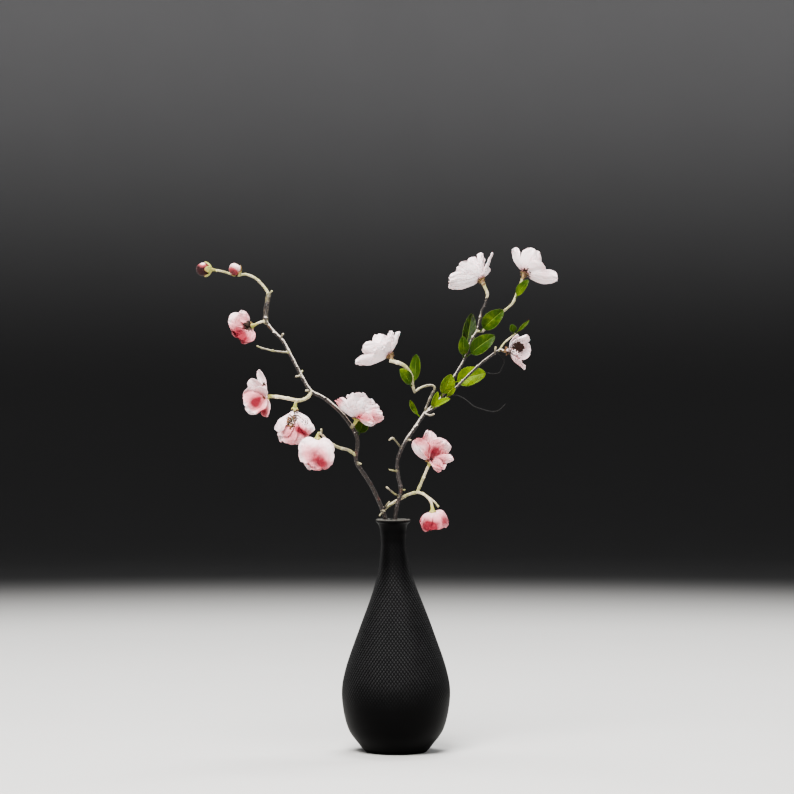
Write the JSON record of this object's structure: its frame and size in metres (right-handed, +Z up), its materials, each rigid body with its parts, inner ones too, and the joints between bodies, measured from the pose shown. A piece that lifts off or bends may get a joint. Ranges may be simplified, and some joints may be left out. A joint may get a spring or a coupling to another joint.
{
  "type": "vase of flowers",
  "caption": "Black bottle vase of water holding spring branches: zigzag woody stems with open and drooping cup blossoms on small calyxes, round buds, oval leaves, twigs and curling tendrils.",
  "frame": {"origin": "middle of the flat foot of the vase, on the surface it stands on", "axes": "+Z up, -Y towards the front, +X to the right as seen from the front"},
  "size_m": [0.3119, 0.0955, 0.4344],
  "materials": {
    "black_glaze": "satin black glaze over a fine raised lattice",
    "water": "clear still water",
    "bark": "grey-brown bark, paler on young shoots",
    "calyx": "matt yellow-green sepals",
    "rose_petal": "soft petals, rose fading to nearly white",
    "white_petal": "soft petals, nearly white",
    "leaf": "glossy green with a paler midrib"
  },
  "bodies": {
    "root": {"vase": "black_glaze", "water": "water", "branch_left": "bark", "branch_right": "bark", "bud_tip_petals": "rose_petal", "bud_tip_calyx": "calyx", "bud_arc_petals": "rose_petal", "bud_arc_calyx": "calyx", "left_upper_petals": "rose_petal", "left_upper_calyx": "calyx", "left_outer_petals": "rose_petal", "left_outer_calyx": "calyx", "left_hanging_petals": "rose_petal", "left_hanging_calyx": "calyx", "left_drooping_petals": "rose_petal", "left_drooping_calyx": "calyx", "left_knee_petals": "rose_petal", "left_knee_calyx": "calyx", "spray_open_petals": "rose_petal", "spray_open_calyx": "calyx", "spray_drooping_petals": "rose_petal", "spray_drooping_calyx": "calyx", "right_near_petals": "white_petal", "right_near_calyx": "calyx", "right_top_petals": "white_petal", "right_top_calyx": "calyx", "right_far_petals": "white_petal", "right_far_calyx": "calyx", "right_low_petals": "white_petal", "right_low_calyx": "calyx", "leaf_near_left": "leaf", "leaf_near_right": "leaf", "leaf_trunk": "leaf", "leaf_fork_upright": "leaf", "leaf_fork_low": "leaf", "leaf_limb_sliver": "leaf", "leaf_limb_left": "leaf", "leaf_limb_right": "leaf", "leaf_tall": "leaf", "leaf_node_left": "leaf", "leaf_node_right": "leaf", "leaf_twig": "leaf", "leaf_bract": "leaf", "leaf_end": "leaf", "leaf_end_side": "leaf", "leaf_knee": "leaf"}
  },
  "joints": []
}
